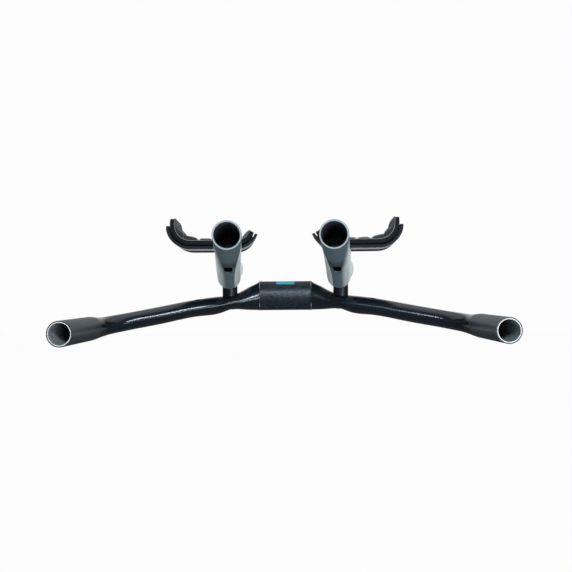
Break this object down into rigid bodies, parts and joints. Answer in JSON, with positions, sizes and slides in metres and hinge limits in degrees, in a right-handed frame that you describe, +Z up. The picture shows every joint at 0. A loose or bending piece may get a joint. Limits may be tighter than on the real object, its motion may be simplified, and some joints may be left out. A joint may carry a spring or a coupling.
{
  "type": "time trial base bar",
  "caption": "Flattened time trial bicycle base bar with forward horns, bent extensions on riser posts and curled, padded forearm rests.",
  "frame": {"origin": "middle of the stem's clamp zone", "axes": "+X towards the rider's left, -Y forward, +Z up"},
  "size_m": [0.424, 0.3592, 0.1276],
  "materials": {
    "bar_black": "gloss black, satin at the clamp zone and horns",
    "post_black": "satin black",
    "steel": "satin",
    "clamp_silver": "satin silver",
    "extension_grey": "satin dark blue-grey",
    "plug_rubber": "matte",
    "cup_plastic": "matte",
    "loop_fabric": "matte",
    "pad_fabric": "matte"
  },
  "bodies": {
    "root": {"base_bar": "bar_black", "left_riser_post": "post_black", "right_riser_post": "post_black", "left_riser_bolt": "steel", "right_riser_bolt": "steel", "left_riser_washer": "steel", "right_riser_washer": "steel", "left_extension_clamp": "clamp_silver", "right_extension_clamp": "clamp_silver", "left_pinch_bolts": "steel", "right_pinch_bolts": "steel", "left_extension": "extension_grey", "right_extension": "extension_grey", "left_rear_plug": "plug_rubber", "right_rear_plug": "plug_rubber", "left_armrest_cup": "cup_plastic", "right_armrest_cup": "cup_plastic", "left_armrest_screws": "steel", "right_armrest_screws": "steel", "left_hook_and_loop": "loop_fabric", "right_hook_and_loop": "loop_fabric", "left_armrest_pad": "pad_fabric", "right_armrest_pad": "pad_fabric"}
  },
  "joints": []
}
